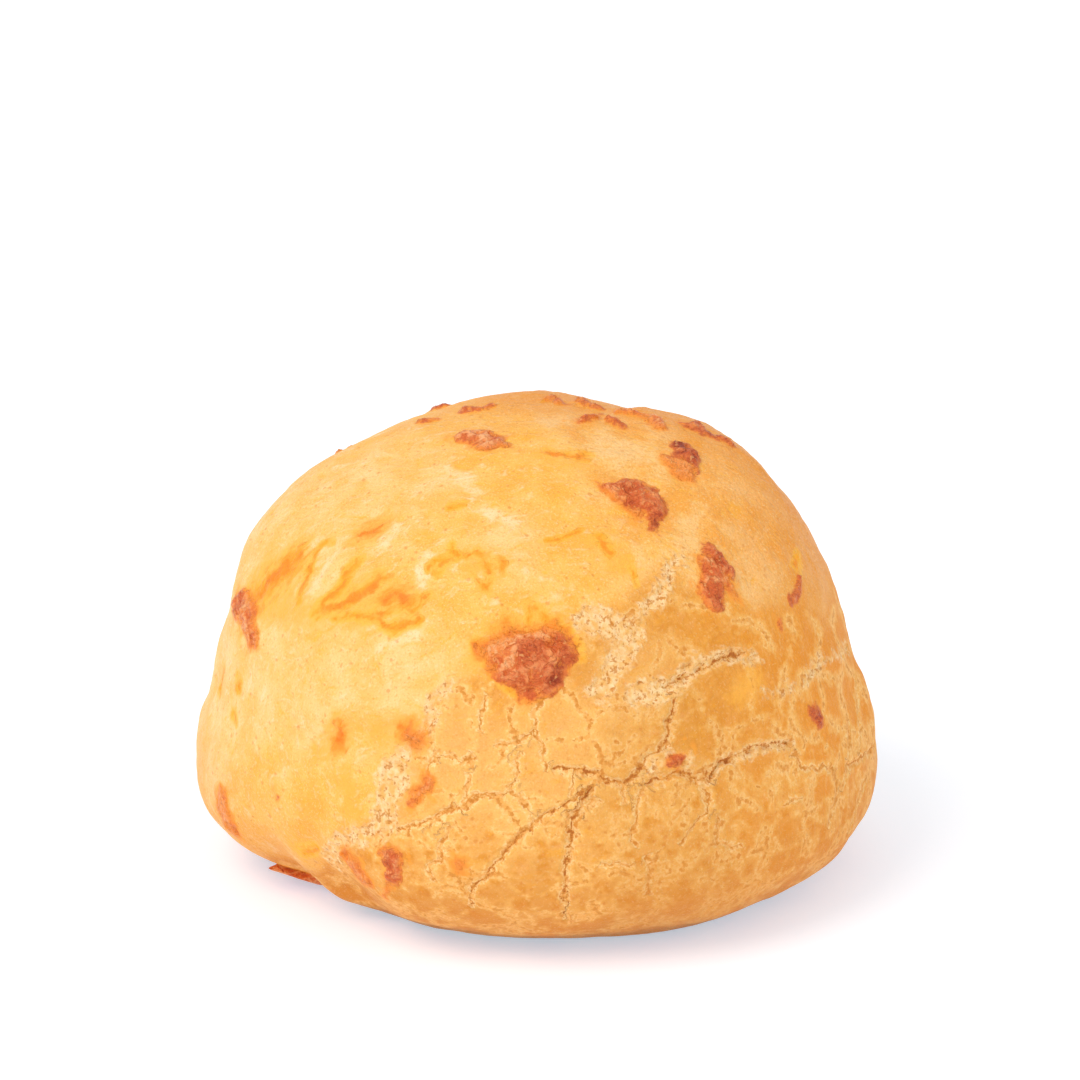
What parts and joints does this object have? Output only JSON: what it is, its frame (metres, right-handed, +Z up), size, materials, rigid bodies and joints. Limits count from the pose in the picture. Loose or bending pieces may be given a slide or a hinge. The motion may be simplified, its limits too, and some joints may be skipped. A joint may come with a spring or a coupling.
{
  "type": "pao de queijo",
  "caption": "Dome-shaped baked cheese bread with a cracked crust, browned cheese lumps and a flat base it rests on.",
  "frame": {"origin": "centre of the flat base, on the surface the bread rests on", "axes": "+Z up from the base to the crown, -Y towards the front, where the widest cracks are, +X to its right"},
  "size_m": [0.0649, 0.0625, 0.0437],
  "materials": {
    "crust": "baked golden crust, satin where it is smooth and matt where it is cracked, with red-brown cheese spots"
  },
  "bodies": {
    "root": {"bread": "crust"}
  },
  "joints": []
}
